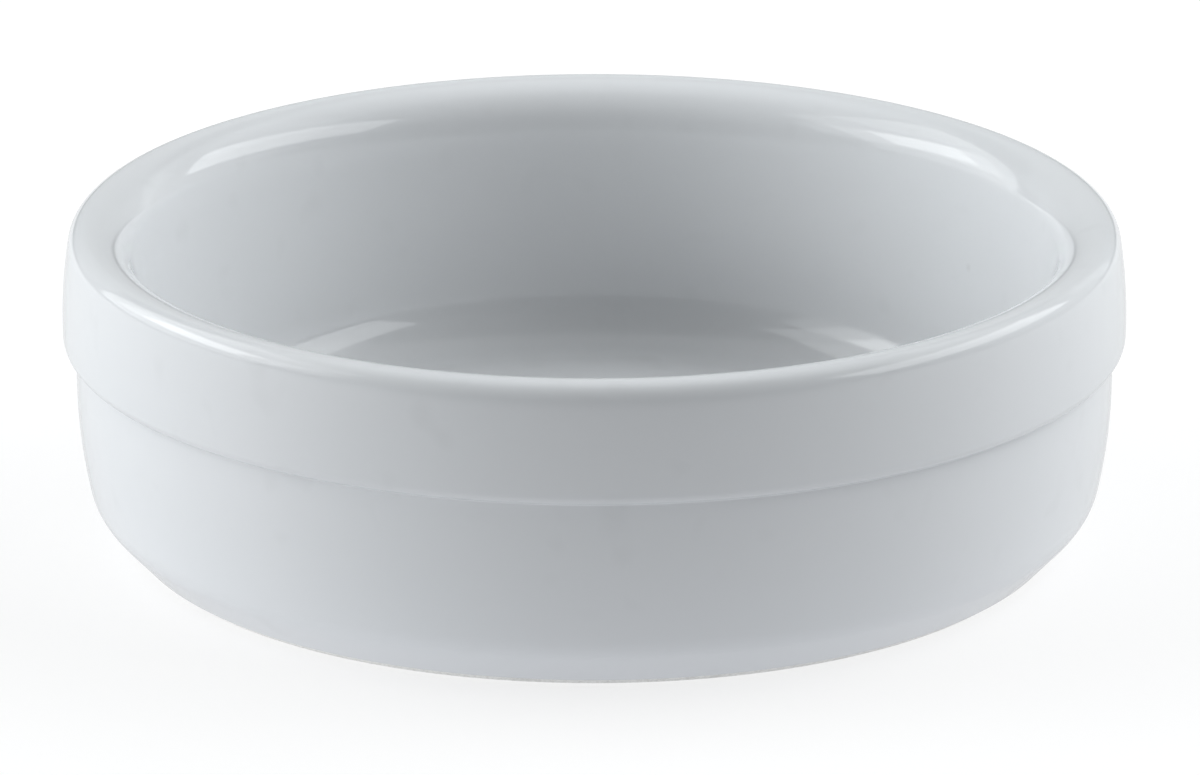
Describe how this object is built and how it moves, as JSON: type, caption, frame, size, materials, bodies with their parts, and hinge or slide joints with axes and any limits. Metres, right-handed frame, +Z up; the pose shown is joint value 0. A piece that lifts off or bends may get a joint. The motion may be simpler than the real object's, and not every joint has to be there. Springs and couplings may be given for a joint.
{
  "type": "creme brulee dish",
  "caption": "Round white porcelain creme brulee dish: straight-sided, shallow, with a raised collar round the mouth, a coved inside and a bare foot ring.",
  "frame": {"origin": "middle of the foot ring, on the plane that the dish stands on", "axes": "+Z up along the axis that the dish is turned about; the dish is round, so +X and +Y have no place of their own"},
  "size_m": [0.12, 0.12, 0.0368],
  "materials": {
    "porcelain": "bare fired clay, matt and slightly rough",
    "glaze": "clear gloss glaze over white clay, faintly cool"
  },
  "bodies": {
    "root": {"porcelain_body": "porcelain", "outer_glaze": "glaze", "base_glaze": "glaze"}
  },
  "joints": []
}
